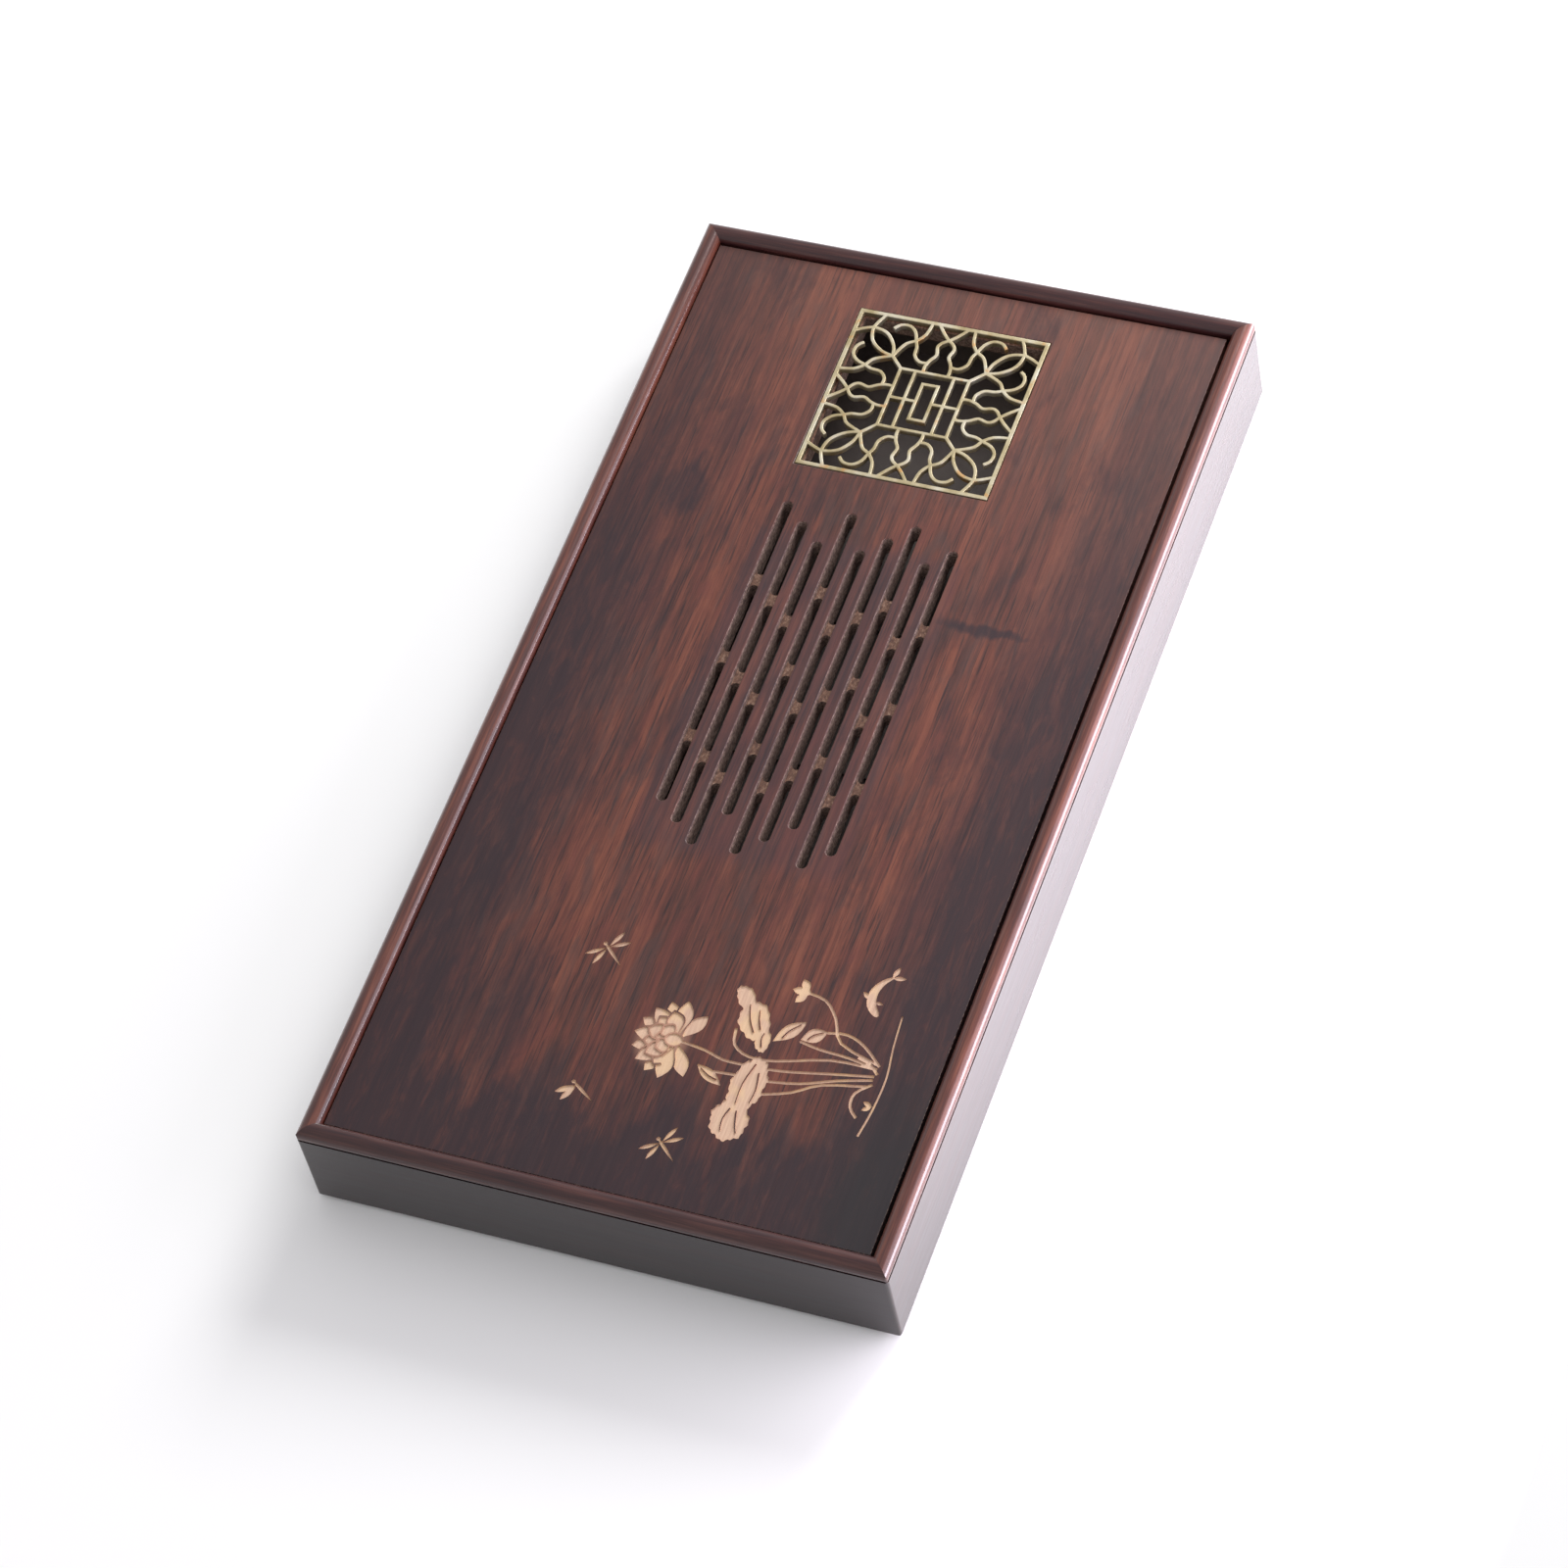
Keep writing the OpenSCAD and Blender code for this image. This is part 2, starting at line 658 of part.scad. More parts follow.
// A leaping fish, with a round nose, a fin on its back, one under it and a forked tail
module fish() {
  spine = smooth([[-7.2, -3.2], [-4.6, 0.2], [-0.6, 1.7], [3.4, 0.9], [6.4, -1.2]], 4);
  last = len(spine) - 1;
  function half(i) = 1.4 * pow(sin(180 * pow(0.012 + 0.93 * i / last, 0.62)), 0.8);
  polygon(concat(
    [for (i = [0 : last]) spine[i] + side_of(spine, i) * half(i)],
    [for (i = [last : -1 : 0]) spine[i] - side_of(spine, i) * half(i)]));
  for (turn = [-72, -6]) translate([6.0, -0.8]) rotate(turn) petal(4.2, 1.5, 1);
  translate([-3.0, 1.6]) rotate(62) petal(3.4, 1.5, 0.9);
  translate([-3.2, -0.2]) rotate(-88) petal(2.6, 1.1, 0.9);
}

// A dragonfly, seen from above with its wings spread, or from the side with them raised
module dragonfly(k, spread) {
  translate([-2 * k, 0]) petal(11 * k, 1, 0.7);
  translate([-1.8 * k, 0]) circle(0.75 * k, $fn = 12);
  for (turn = spread ? [70, 106, -70, -106] : [-84, -112])
    rotate(turn) petal(7.8 * k, spread ? 1.3 : 1.9, 1.3);
}

rail_front();
rail_back();
rail_left();
rail_right();
corner_splines();
bottom_board();
foot(-1, -1);  // foot_front_left
foot(1, -1);  // foot_front_right
foot(-1, 1);  // foot_back_left
foot(1, 1);  // foot_back_right
ledge_front();
ledge_back();
ledge_left();
ledge_right();
water_tray();
deck_panel();
batten_left();
batten_right();
batten_screws();
drain_grille();
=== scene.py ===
import math

import bpy
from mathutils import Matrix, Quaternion, Vector


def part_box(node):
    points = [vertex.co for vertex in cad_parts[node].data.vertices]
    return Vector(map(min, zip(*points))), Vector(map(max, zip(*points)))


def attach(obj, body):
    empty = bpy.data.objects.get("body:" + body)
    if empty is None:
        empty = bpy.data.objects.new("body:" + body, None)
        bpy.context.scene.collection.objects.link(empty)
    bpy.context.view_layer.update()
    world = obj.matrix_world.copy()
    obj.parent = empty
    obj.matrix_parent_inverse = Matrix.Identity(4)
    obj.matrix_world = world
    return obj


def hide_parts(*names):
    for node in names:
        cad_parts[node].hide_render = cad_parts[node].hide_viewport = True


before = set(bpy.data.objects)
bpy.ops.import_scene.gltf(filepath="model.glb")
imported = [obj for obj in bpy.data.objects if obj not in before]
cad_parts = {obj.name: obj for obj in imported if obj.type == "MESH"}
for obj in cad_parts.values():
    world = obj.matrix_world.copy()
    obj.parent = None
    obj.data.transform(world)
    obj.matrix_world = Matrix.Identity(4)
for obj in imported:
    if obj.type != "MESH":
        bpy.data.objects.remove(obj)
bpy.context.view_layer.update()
MM = 0.001

# The deck: one panel of carbonised bamboo slats, glued edge to edge and planed, with the
# slots and the grille's seat milled in and the water lily scene engraved through the stain.
# It lies loose on the ledge strips, and its arrises are just broken with fine paper.

DECK_LOW, DECK_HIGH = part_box("deck_panel")
DECK_MID_Y = (DECK_LOW.y + DECK_HIGH.y) / 2
SLAT_W = 20.8 * MM
ENGRAVED = 0.4 * MM
SCENE_RIGHT = -0.066
MILLED_LEFT, MILLED_RIGHT, MILLED_HALF = -0.056, 0.154, 0.033


def colour(code):
    """An sRGB hex colour as the linear colour that a socket takes."""
    parts = [int(code[i:i + 2], 16) / 255 for i in (1, 3, 5)]
    return (*[c / 12.92 if c <= 0.04045 else ((c + 0.055) / 1.055) ** 2.4 for c in parts], 1)


def put(stuff, kind, feeds=None, out=0, **settings):
    """Adds a node to a material or world, sets its properties, and feeds its inputs with values or sockets."""
    tree = stuff.node_tree
    made = tree.nodes.new("ShaderNode" + kind)
    for name, value in settings.items():
        setattr(made, name, value)
    for name, value in (feeds or {}).items():
        if isinstance(value, bpy.types.NodeSocket):
            tree.links.new(value, made.inputs[name])
        else:
            made.inputs[name].default_value = value
    return made.outputs[out] if len(made.outputs) else made


def finish_for(name):
    """An empty node material, for one finish."""
    stuff = bpy.data.materials.new(name)
    stuff.use_nodes = True
    stuff.node_tree.nodes.clear()
    return stuff


def sums(stuff, operation, a, b=0.0, c=0.0):
    return put(stuff, "Math", {0: a, 1: b, 2: c}, operation=operation)


def grain(stuff, along, across, turn=0.0, place=(0, 0, 0), detail=4.0, rough=0.55, warp=0.0, colours=False):
    """Streaks of noise, along and across millimetres in size, running along X turned by turn."""
    seat = put(stuff, "TexCoord", out=3)
    turned = put(stuff, "Mapping", {"Vector": seat, "Location": place, "Rotation": (0, 0, turn)})
    sized = put(stuff, "Mapping", {"Vector": turned, "Scale": (1 / (along * MM), 1 / (across * MM), 1 / (across * MM))})
    return put(stuff, "TexNoise", {"Vector": sized, "Scale": 1.0, "Detail": detail, "Roughness": rough,
                                   "Distortion": warp}, out=1 if colours else 0)


def ramp(stuff, factor, *stops, mode="LINEAR"):
    """A colour ramp from (place, hex) stops."""
    made = put(stuff, "ValToRGB", {0: factor})
    band = made.node.color_ramp
    band.interpolation = mode
    while len(band.elements) < len(stops):
        band.elements.new(0.5)
    for spot, (place, code) in zip(band.elements, stops):
        spot.position = place
        spot.color = colour(code)
    return made


def blend(stuff, share, a, b, mode="MIX"):
    """Mixes two colours, as paint or as light."""
    return put(stuff, "Mix", {0: share, 6: a, 7: b}, out=2, data_type="RGBA", blend_type=mode)


def rise(stuff, value, start, end, low=0.0, high=1.0):
    """Turns a range of a value smoothly into another range."""
    return put(stuff, "MapRange", {0: value, 1: start, 2: end, 3: low, 4: high}, interpolation_type="SMOOTHSTEP")


def surface(stuff, **sockets):
    """Closes a material with its one shader."""
    shader = put(stuff, "BsdfPrincipled", {k.replace("_", " "): v for k, v in sockets.items()})
    put(stuff, "OutputMaterial", {"Surface": shader})
    return stuff


# Carbonised bamboo, stained brown and rubbed with satin lacquer. Fibres show as fine dark
# lines along the slats, the stain is blackest towards the edges, and the sheen is soft.
deck_wood = finish_for("carbonised_bamboo_satin")
seat = put(deck_wood, "TexCoord", out=3)
where = put(deck_wood, "SeparateXYZ", {0: seat}).node.outputs
smoke = grain(deck_wood, 40, 17, place=(0.11, 0.37, 0), detail=5, rough=0.6, warp=0.6)
slat = sums(deck_wood, "FLOOR", sums(deck_wood, "DIVIDE", sums(deck_wood, "ADD", where[1], 12.4 * MM), SLAT_W))
slat_tone = put(deck_wood, "TexWhiteNoise", {"W": sums(deck_wood, "ADD", slat, 3.5)}, noise_dimensions="1D")
bands = grain(deck_wood, 120, 6, detail=4)
streaks = grain(deck_wood, 50, 1.4, place=(0.3, 0, 0), detail=5, rough=0.62)
mottle = grain(deck_wood, 12, 3.2, place=(0.9, 0.2, 0), detail=5, rough=0.68, warp=0.7)
fibres = grain(deck_wood, 14, 0.45, place=(0.7, 0.1, 0), detail=3)
dashes = rise(deck_wood, grain(deck_wood, 18, 0.6, place=(0.2, 0.6, 0), detail=3), 0.57, 0.66)
tone = sums(deck_wood, "MULTIPLY_ADD", bands, 0.42, sums(deck_wood, "MULTIPLY", streaks, 0.3))
tone = sums(deck_wood, "MULTIPLY_ADD", mottle, 0.18, tone)
tone = sums(deck_wood, "MULTIPLY_ADD", fibres, 0.2, tone)
tone = sums(deck_wood, "MULTIPLY_ADD", slat_tone, 0.07, tone)
tone = sums(deck_wood, "MULTIPLY_ADD", dashes, -0.14, tone)
brown = ramp(deck_wood, rise(deck_wood, tone, 0.4, 0.76), (0.0, "#2a1414"), (0.4, "#46241d"), (0.65, "#582c21"),
             (1.0, "#6f3c2b"))
ruddy = grain(deck_wood, 26, 6, place=(0.15, 0.85, 0), detail=4, warp=0.5)
brown = blend(deck_wood, rise(deck_wood, ruddy, 0.5, 0.7, 0, 0.5), brown, colour("#5a2a24"))
brown = blend(deck_wood, rise(deck_wood, ruddy, 0.5, 0.32, 0, 0.45), brown, colour("#3b2b2a"))
# Painted sheen: towards the panel's far end the brown is lifted to a paler brown.
painted_far_sheen = rise(deck_wood, sums(deck_wood, "MULTIPLY_ADD", where[1], -0.4, where[0]), 0.04, 0.19, 0, 0.75)
brown = blend(deck_wood, painted_far_sheen, brown, blend(deck_wood, 0.3, brown, colour("#80594a")))


wander = grain(deck_wood, 9, 5, detail=5, rough=0.65, colours=True)


def cloud(x, y, half_x, half_y, most, bend=9.0):
    """A soft dark mark in the deck, with its middle, half sizes and bend in millimetres."""
    bent = put(deck_wood, "VectorMath", {0: wander, 1: (2 * bend * MM, bend * MM, 0), 2: seat}, operation="MULTIPLY_ADD")
    unit = put(deck_wood, "Mapping", {"Vector": bent, "Location": ((x + bend) * MM, (y + bend / 2) * MM, 0),
                                      "Scale": (half_x * MM, half_y * MM, 1)}, vector_type="TEXTURE")
    return rise(deck_wood, put(deck_wood, "TexGradient", {0: unit}, out=1, gradient_type="SPHERICAL"), 0, 0.7, 0, most)


# The stain pools at the panel's edges and on the pale nodes of the culm, which cross single slats.
soot = rise(deck_wood, sums(deck_wood, "MULTIPLY_ADD", smoke, 0.08, where[0]), -0.112, -0.078, 1, 0)
soot = sums(deck_wood, "MAXIMUM", soot, rise(deck_wood, smoke, 0.5, 0.7, 0, 0.55))
for mark in ((-118, 46, 40, 15, 0.75), (-150, -30, 30, 60, 0.6), (73, 61, 19, 13, 0.9), (42, 62, 17, 10, 0.65),
             (98, 55, 22, 9, 0.55), (43.5, -46, 3, 22, 1.0, 3), (52, -58, 20, 7, 0.5), (28, -63, 26, 4, 0.7, 4),
             (-18, 5, 14, 14, 0.5), (105, -70, 15, 10, 0.6), (137, -69, 11, 12, 0.55), (125, 78, 44, 9, 0.5),
             (-36, 77, 8, 13, 0.7), (-80, -66, 70, 20, 0.6), (-140, -72, 60, 22, 1.0), (10, -72, 60, 6, 0.5, 4)):
    soot = sums(deck_wood, "MAXIMUM", soot, cloud(*mark))
rear = rise(deck_wood, sums(deck_wood, "MULTIPLY_ADD", smoke, -0.04, where[1]), 0.022, 0.054, 0, 1)
front = rise(deck_wood, sums(deck_wood, "MULTIPLY_ADD", smoke, 0.03, where[1]), -0.06, -0.03, 1, 0)
edges = sums(deck_wood, "MULTIPLY", sums(deck_wood, "MAXIMUM", rear, front), rise(deck_wood, where[0], -0.02, 0.16, 1, 0.45))
soot = sums(deck_wood, "MAXIMUM", soot, edges)
soot = sums(deck_wood, "MULTIPLY", soot, rise(deck_wood, mottle, 0.35, 0.7, 1.1, 0.8))
slotted = sums(deck_wood, "MULTIPLY", rise(deck_wood, where[0], -0.056, -0.048), rise(deck_wood, where[0], 0.062, 0.068, 1, 0))
slotted = sums(deck_wood, "MULTIPLY", slotted, rise(deck_wood, where[1], -0.034, -0.031))
slotted = sums(deck_wood, "MULTIPLY", slotted, rise(deck_wood, where[1], 0.032, 0.035, 0.4, 0))
brown = blend(deck_wood, slotted, brown, colour("#3a2429"))
brown = blend(deck_wood, soot, brown, blend(deck_wood, 0.92, brown, colour("#24141b")))
brown = blend(deck_wood, cloud(-155, -80, 60, 24, 0.75), brown, colour("#161418"))

# Bare wood inside the milled slots, with a pale broken arris that is partly a painted highlight along the rims, and on
# the floor of the scene.
below = sums(deck_wood, "SUBTRACT", DECK_HIGH.z, where[2])
beside = sums(deck_wood, "ABSOLUTE", sums(deck_wood, "SUBTRACT", where[1], DECK_MID_Y))
facing = put(deck_wood, "SeparateXYZ", {0: put(deck_wood, "NewGeometry", out=1)}, out=2)
milled = sums(deck_wood, "MULTIPLY", sums(deck_wood, "GREATER_THAN", below, 0.3 * MM),
              sums(deck_wood, "LESS_THAN", below, DECK_HIGH.z - DECK_LOW.z - 0.1 * MM))
milled = sums(deck_wood, "MULTIPLY", milled, sums(deck_wood, "LESS_THAN", beside, MILLED_HALF))
milled = sums(deck_wood, "MULTIPLY", milled, sums(deck_wood, "GREATER_THAN", where[0], MILLED_LEFT))
milled = sums(deck_wood, "MULTIPLY", milled, sums(deck_wood, "LESS_THAN", where[0], MILLED_RIGHT))
fuzz = grain(deck_wood, 1.1, 0.7, detail=4, rough=0.7)
sawn = ramp(deck_wood, fuzz, (0.35, "#4e3e39"), (0.5, "#77625a"), (0.68, "#a58e81"))
planed = ramp(deck_wood, fuzz, (0.35, "#4a3029"), (0.55, "#70503f"), (0.7, "#9c8070"))
brown = blend(deck_wood, milled, brown, blend(deck_wood, rise(deck_wood, facing, 0.5, 0.8), sawn, planed))
inside = sums(deck_wood, "MULTIPLY", sums(deck_wood, "LESS_THAN", where[0], SCENE_RIGHT),
              sums(deck_wood, "GREATER_THAN", where[0], DECK_LOW.x + 2 * MM))
inside = sums(deck_wood, "MULTIPLY", inside, sums(deck_wood, "LESS_THAN", beside, 0.08))
lowered = sums(deck_wood, "GREATER_THAN", below, 0.04 * MM)
cut = sums(deck_wood, "MULTIPLY", sums(deck_wood, "MULTIPLY", lowered, inside),
           sums(deck_wood, "LESS_THAN", below, ENGRAVED + 0.03 * MM))
bare = ramp(deck_wood, grain(deck_wood, 12, 0.7, detail=4), (0.3, "#b5947f"), (0.7, "#caab91"))
bare = blend(deck_wood, rise(deck_wood, grain(deck_wood, 9, 7, place=(0.5, 0, 0), detail=2), 0.45, 0.6, 0, 0.5), bare,
             colour("#d0b188"))
bare = blend(deck_wood, rise(deck_wood, below, 0.1 * MM, ENGRAVED, 0.3, 0), bare, colour("#8d6148"))
worn = sums(deck_wood, "MULTIPLY", inside, cloud(-115, -1.5, 11.5, 9.5, 1.0, 0.1))
brown = blend(deck_wood, worn, brown, colour("#a37a65"))
brown = blend(deck_wood, cut, brown, bare)
# The pale specks along the top of every cut are partly bare wood on the broken arris and partly a painted highlight on
# the rims.
arris_and_painted_highlight = sums(deck_wood, "MULTIPLY", lowered, sums(deck_wood, "LESS_THAN", below, 0.5 * MM))
arris_and_painted_highlight = sums(deck_wood, "MULTIPLY", arris_and_painted_highlight, sums(deck_wood, "SUBTRACT", 1.0, cut))
arris_and_painted_highlight = sums(deck_wood, "MULTIPLY", arris_and_painted_highlight, rise(deck_wood, fuzz, 0.47, 0.62, 0.1, 0.7))
brown = blend(deck_wood, arris_and_painted_highlight, brown, colour("#8b7469"))
raw = sums(deck_wood, "MAXIMUM", cut, milled)
sheen = sums(deck_wood, "MULTIPLY_ADD", streaks, 0.22, 0.3)
sheen = sums(deck_wood, "MAXIMUM", sheen, sums(deck_wood, "MULTIPLY", raw, 0.75))
relief = sums(deck_wood, "MULTIPLY_ADD", fibres, 0.5, sums(deck_wood, "MULTIPLY_ADD", raw, fuzz, streaks))
dents = put(deck_wood, "Bump", {"Height": relief, "Strength": 0.35, "Distance": 0.05 * MM})
surface(deck_wood, Base_Color=brown, Roughness=sheen, Normal=dents, IOR=1.5, Specular_IOR_Level=0.42)


def eased(node, body, stuff, name, ease=0.3, turns=3, chosen=None, merge=0.002):
    """A copy of a CAD node with its sharp edges rounded by ease millimetres, in that node's place."""
    bpy.ops.object.select_all(action="DESELECT")
    piece = bpy.data.objects.new(name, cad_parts[node].data.copy())
    bpy.context.scene.collection.objects.link(piece)
    bpy.context.view_layer.objects.active = piece
    piece.select_set(True)
    bpy.ops.mesh.customdata_custom_splitnormals_clear()
    bpy.ops.object.mode_set(mode="EDIT")
    bpy.ops.mesh.select_all(action="SELECT")
    bpy.ops.mesh.remove_doubles(threshold=merge * MM)
    bpy.ops.mesh.dissolve_limited(angle_limit=math.radians(0.5))
    bpy.ops.mesh.select_all(action="DESELECT")
    bpy.ops.mesh.select_mode(type="EDGE")
    bpy.ops.mesh.edges_select_sharp(sharpness=math.radians(35))
    bpy.ops.object.mode_set(mode="OBJECT")
    if chosen:
        points = piece.data.vertices
        for face in piece.data.polygons:
            face.select = False
        for edge in piece.data.edges:
            if edge.select:
                edge.select = chosen(points[edge.vertices[0]].co, points[edge.vertices[1]].co)
    bpy.ops.object.mode_set(mode="EDIT")
    bpy.ops.mesh.bevel(offset=ease * MM, segments=turns, profile=0.5, loop_slide=False,
                       clamp_overlap=chosen is None)
    bpy.ops.object.mode_set(mode="OBJECT")
    bpy.ops.object.shade_smooth_by_angle(angle=math.radians(50))
    weights = piece.modifiers.new("flats", "WEIGHTED_NORMAL")
    weights.keep_sharp = True
    bpy.ops.object.modifier_apply(modifier=weights.name)
    piece.data.materials.clear()
    piece.data.materials.append(stuff)
    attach(piece, body)
    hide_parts(node)
    return piece


def on_top_right_of_scene(a, b):
    """True for top arrises right of the scene within the milled band: the slots, the grille's seat and a short stretch
    of the panel's far edge.
    """
    top = min(a.z, b.z) > DECK_HIGH.z - 0.05 * MM
    return top and min(a.x, b.x) > MILLED_LEFT and max(abs(a.y - DECK_MID_Y), abs(b.y - DECK_MID_Y)) < MILLED_HALF


deck = eased("deck_panel", "deck", deck_wood, "deck_board", ease=0.3, chosen=on_top_right_of_scene)

# The case: four bamboo rails with a round bead along the top and a fine quirk under it,
# mitred, keyed and glued at the corners, then stained and sprayed with satin lacquer.

BEAD_LOW = 31.6 * MM
RAILS = {"rail_front": 0.0, "rail_back": 0.0, "rail_left": math.pi / 2, "rail_right": math.pi / 2}


def lacquered_bamboo(turn, dark, mid, light, lacquer):
    """Dark stained bamboo under satin lacquer, redder along the bead, with the walls below the bead darkened to
    near-black as painted shade.
    """
    stuff = finish_for("lacquered_bamboo_" + ("ends" if turn else "sides"))
    bands = grain(stuff, 120, 5, turn, (0.2, 0.2, 0), detail=3)
    streaks = grain(stuff, 26, 1.1, turn, (0.5, 0.3, 0), detail=5, rough=0.6)
    fibres = grain(stuff, 10, 0.4, turn, detail=2)
    tone = sums(stuff, "MULTIPLY_ADD", bands, 0.45, sums(stuff, "MULTIPLY", streaks, 0.8))
    tone = sums(stuff, "MULTIPLY_ADD", fibres, 0.3, tone)
    wood = ramp(stuff, rise(stuff, tone, 0.5, 1.05), (0.0, dark), (0.5, mid), (1.0, light))
    height = put(stuff, "SeparateXYZ", {0: put(stuff, "TexCoord", out=3)}, out=2)
    # Painted shade: below the bead the walls are darkened almost to black, so that they show little but the lacquer's
    # reflection.
    wood = blend(stuff, rise(stuff, height, BEAD_LOW - 0.2 * MM, BEAD_LOW, 0.85, 0), wood, colour("#171114"))
    ripple = grain(stuff, 14, 6, turn, (0.9, 0, 0.4), detail=2)
    dents = put(stuff, "Bump", {"Height": sums(stuff, "MULTIPLY_ADD", streaks, 0.12, ripple), "Strength": 0.25,
                                "Distance": 0.08 * MM})
    sheen = sums(stuff, "MULTIPLY_ADD", streaks, 0.2, 0.3)
    return surface(stuff, Base_Color=wood, Roughness=sheen, Normal=dents, IOR=1.5, Specular_IOR_Level=0.15,
                   Coat_Weight=lacquer, Coat_Roughness=0.16, Coat_IOR=1.5)


side_wood = lacquered_bamboo(0.0, "#321513", "#4c231b", "#6a3a2b", 1.0)
# Painted shade: the end rails take a darker and less lacquered copy of the side rails' finish.
end_wood_painted_shade = lacquered_bamboo(math.pi / 2, "#271317", "#3a1d1c", "#4f2e29", 0.72)
for rail, turn in RAILS.items():
    eased(rail, "case", end_wood_painted_shade if turn else side_wood, rail.replace("rail", "case_rail"), ease=0.2)

# The grille: cast brass, tumbled until its bars are rounded, then lacquered. It drops into
# its seat and stands a hair proud of the deck.

cast_brass = finish_for("cast_brass")
clouds = grain(cast_brass, 7, 7, detail=3)
specks = grain(cast_brass, 0.6, 0.6, detail=3)
gold = ramp(cast_brass, clouds, (0.35, "#9c8f6e"), (0.5, "#b0a588"), (0.68, "#beb8a6"))
gold = blend(cast_brass, rise(cast_brass, grain(cast_brass, 5, 5, place=(0.4, 0.4, 0), detail=2), 0.6, 0.72, 0, 0.6), gold,
             colour("#b8874c"))
dull = sums(cast_brass, "MULTIPLY_ADD", specks, 0.2, 0.45)
pits = put(cast_brass, "Bump", {"Height": specks, "Strength": 0.3, "Distance": 0.05 * MM})
surface(cast_brass, Base_Color=gold, Metallic=1.0, Roughness=dull, Normal=pits)
eased("drain_grille", "grille", cast_brass, "grille_casting", ease=0.24, chosen=lambda a, b: abs(a.z - b.z) < 1e-5)

# The water tray: dark grey-brown polypropylene, injection moulded with a fine spark texture,
# with a thin dried film of tea on its floor.

moulded = finish_for("moulded_grey_polypropylene")
spark = grain(moulded, 0.5, 0.5, detail=3)
film = grain(moulded, 40, 40, detail=4)
pp = ramp(moulded, film, (0.3, "#463e3b"), (0.7, "#574e4a"))
surface(moulded, Base_Color=pp, Roughness=sums(moulded, "MULTIPLY_ADD", film, 0.25, 0.32), IOR=1.49,
        Normal=put(moulded, "Bump", {"Height": spark, "Strength": 0.35, "Distance": 0.06 * MM}))
eased("water_tray", "water_tray", moulded, "water_basin", ease=0.3)

# The bottom board and the ledge strips that carry the deck: planed bamboo, thinly sealed,
# held in the rails' grooves or glued to them.


def planed_bamboo(name, turn):
    """Planed carbonised bamboo with a thin seal: dry, tan brown, with dark fibre dashes."""
    stuff = finish_for(name)
    bands = grain(stuff, 140, 8, turn, (0.1, 0.5, 0), detail=3)
    streaks = grain(stuff, 22, 1.0, turn, (0.6, 0.1, 0), detail=5, rough=0.65)
    fibres = grain(stuff, 9, 0.4, turn, detail=2)
    tone = sums(stuff, "MULTIPLY_ADD", bands, 0.4, sums(stuff, "MULTIPLY", streaks, 0.8))
    tone = sums(stuff, "MULTIPLY_ADD", fibres, 0.3, tone)
    wood = ramp(stuff, rise(stuff, tone, 0.5, 1.05), (0.0, "#5c3e2b"), (0.5, "#83593c"), (1.0, "#a77a52"))
    dents = put(stuff, "Bump", {"Height": streaks, "Strength": 0.4, "Distance": 0.08 * MM})
    return surface(stuff, Base_Color=wood, Roughness=sums(stuff, "MULTIPLY_ADD", streaks, 0.2, 0.48), Normal=dents)


planed_long, planed_short = planed_bamboo("planed_bamboo_long", 0.0), planed_bamboo("planed_bamboo_short", math.pi / 2)
for node in ("bottom_board", "ledge_front", "ledge_back"):
    eased(node, "case", planed_long, node + "_planed", ease=0.3)
for node in ("ledge_left", "ledge_right"):
    eased(node, "case", planed_short, node + "_planed", ease=0.3)
for node in ("batten_left", "batten_right"):
    eased(node, "deck", planed_short, node + "_planed", ease=0.3)
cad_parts["corner_splines"].data.materials.clear()
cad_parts["corner_splines"].data.materials.append(planed_long)

# The batten screws: countersunk wood screws, zinc plated over drawn steel.

zinc = finish_for("zinc_plated_steel")
haze = grain(zinc, 1.2, 1.2, detail=3)
surface(zinc, Base_Color=ramp(zinc, haze, (0.3, "#9fa3a6"), (0.7, "#cdd0cf")), Metallic=1.0,
        Roughness=sums(zinc, "MULTIPLY_ADD", haze, 0.2, 0.25),
        Normal=put(zinc, "Bump", {"Height": haze, "Strength": 0.2, "Distance": 0.03 * MM}))
eased("batten_screws", "deck", zinc, "countersunk_screws", ease=0.12)

# The feet: moulded black rubber pads, stuck under the bottom board.

rubber = finish_for("moulded_rubber")
dust = grain(rubber, 3, 3, detail=4)
surface(rubber, Base_Color=ramp(rubber, dust, (0.3, "#161617"), (0.75, "#262626")),
        Roughness=sums(rubber, "MULTIPLY_ADD", dust, 0.15, 0.72),
        Normal=put(rubber, "Bump", {"Height": grain(rubber, 0.6, 0.6, detail=2), "Strength": 0.3, "Distance": 0.05 * MM}))
for side in ("front_left", "front_right", "back_left", "back_right"):
    eased("foot_" + side, "case", rubber, "rubber_foot_" + side, ease=0.25)

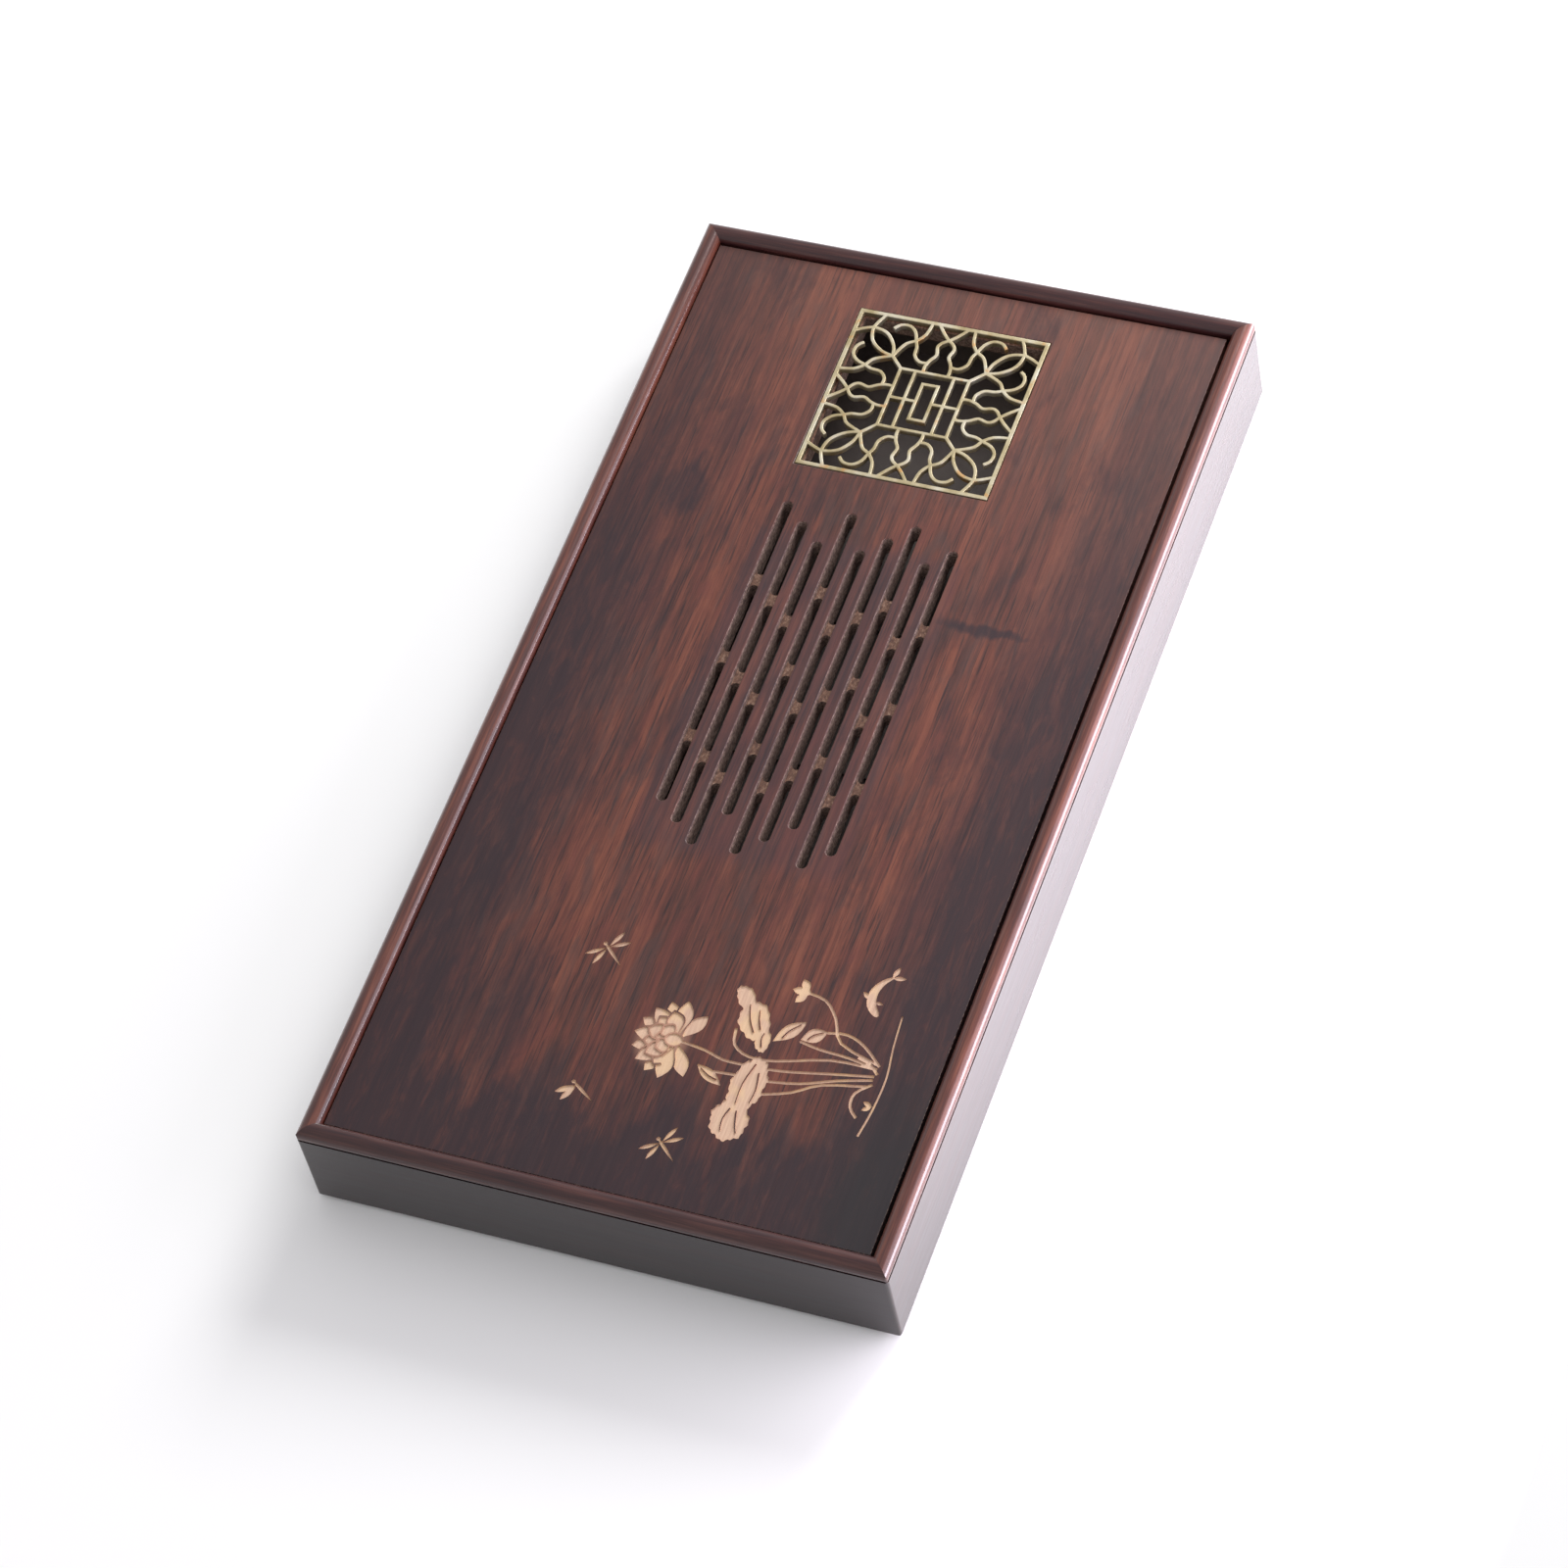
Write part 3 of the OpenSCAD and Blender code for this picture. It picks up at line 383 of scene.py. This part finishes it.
# The studio: a plain pale floor under an even white sky, a low strip light and a softbox close
# to the front wall, a third softbox far off on the right, and the camera above the front left corner.

bpy.ops.object.select_all(action="DESELECT")
bpy.ops.mesh.primitive_plane_add(size=10)
floor = bpy.context.object
floor.name = "floor"
pale = finish_for("matt_white_floor")
surface(pale, Base_Color=ramp(pale, grain(pale, 400, 400, detail=2), (0.3, "#eeeeee"), (0.7, "#f4f4f4")),
        Roughness=0.9)
floor.data.materials.append(pale)

world = bpy.data.worlds.new("studio")
bpy.context.scene.world = world
world.use_nodes = True
world.node_tree.nodes.clear()
put(world, "OutputWorld", {"Surface": put(world, "Background", {"Color": (1.0, 0.99, 1.01, 1), "Strength": 0.74})})


def softbox(name, place, aim, size, power, tint="#ffffff"):
    """A rectangular soft light at a place, turned to its aim."""
    lamp = bpy.data.lights.new(name, "AREA")
    lamp.shape = "RECTANGLE"
    lamp.size, lamp.size_y = size
    lamp.energy = power
    lamp.color = colour(tint)[:3]
    box = bpy.data.objects.new(name, lamp)
    box.location = place
    box.rotation_euler = (Vector(aim) - Vector(place)).to_track_quat("-Z", "Y").to_euler()
    box.visible_camera = False
    bpy.context.scene.collection.objects.link(box)


softbox("low_strip", (0.09, -0.2, 0.0275), (0.09, 0, 0.0275), (0.52, 0.055), 1.15, "#f9f1ff")
softbox("front_softbox", (0.09, -0.27, 0.15), (0.09, 0, 0.15), (0.52, 0.3), 1.25, "#f9f1ff")
softbox("right_softbox", (1.45, -0.3, 0.95), (0, 0, 0), (0.7, 0.7), 28)

camera = bpy.data.cameras.new("camera")
camera.lens = 132.55
camera.sensor_width = 36
camera.clip_start = 0.05
view = bpy.data.objects.new("camera", camera)
view.location = (-0.8651, -0.5171, 1.4063)
ahead = Vector((0.49828, 0.30260, -0.81250))
lean = Quaternion((0, 0, 1), math.radians(-14.08))
view.rotation_euler = (ahead.to_track_quat("-Z", "Y") @ lean).to_euler()
bpy.context.scene.collection.objects.link(view)
bpy.context.scene.camera = view
bpy.context.scene.view_settings.view_transform = "Standard"
